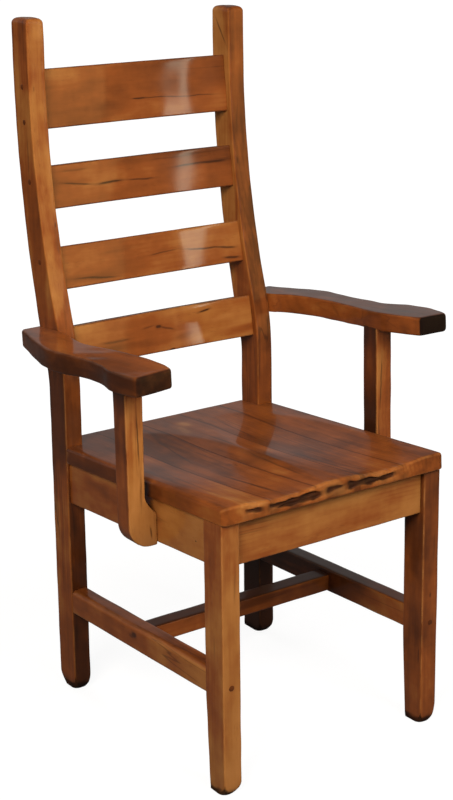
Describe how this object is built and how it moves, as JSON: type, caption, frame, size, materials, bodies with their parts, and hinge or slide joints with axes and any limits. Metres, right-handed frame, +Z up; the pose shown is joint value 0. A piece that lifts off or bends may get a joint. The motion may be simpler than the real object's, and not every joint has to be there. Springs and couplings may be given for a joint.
{
  "type": "dining armchair",
  "caption": "Rustic ladder-back dining armchair in stained wood, with bowed back slats, a dished plank seat, hewn plank arms on supports, and legs tied by an H of stretchers.",
  "frame": {"origin": "on the floor, under the middle of the chair's bounding box", "axes": "+Z up, the chair's front faces -Y. Left in the node names is -X, as seen by someone standing in front of the chair"},
  "size_m": [0.6164, 0.5662, 1.111],
  "materials": {
    "frame_wood": "stained red-brown maple, satin lacquer",
    "slat_wood": "stained red-brown maple with dark streaks, glossy lacquer",
    "seat_wood": "stained red-brown maple, glossy lacquer",
    "arm_wood": "stained red-brown maple with dark end grain, glossy lacquer",
    "plug_wood": "dark stained plug, end grain",
    "raw_wood": "unstained maple",
    "screw_steel": "zinc plated"
  },
  "bodies": {
    "root": {"rear_post_left": "frame_wood", "rear_post_right": "frame_wood", "front_leg_left": "frame_wood", "front_leg_right": "frame_wood", "top_slat": "slat_wood", "upper_slat": "slat_wood", "middle_slat": "slat_wood", "lower_slat": "slat_wood", "seat_board_1": "seat_wood", "seat_board_2": "seat_wood", "seat_board_3": "seat_wood", "seat_board_4": "seat_wood", "seat_board_5": "seat_wood", "front_apron": "frame_wood", "rear_apron": "frame_wood", "left_apron": "frame_wood", "right_apron": "frame_wood", "left_stretcher": "frame_wood", "right_stretcher": "frame_wood", "cross_stretcher": "frame_wood", "left_arm": "arm_wood", "right_arm": "arm_wood", "left_arm_support": "frame_wood", "right_arm_support": "frame_wood", "corner_block_front_left": "raw_wood", "corner_block_front_right": "raw_wood", "corner_block_rear_left": "raw_wood", "corner_block_rear_right": "raw_wood", "slat_plugs": "plug_wood", "slat_screws": "screw_steel", "stretcher_plugs": "plug_wood", "stretcher_screws": "screw_steel", "support_screws": "screw_steel", "seat_screws": "screw_steel", "arm_dowels": "raw_wood"}
  },
  "joints": []
}
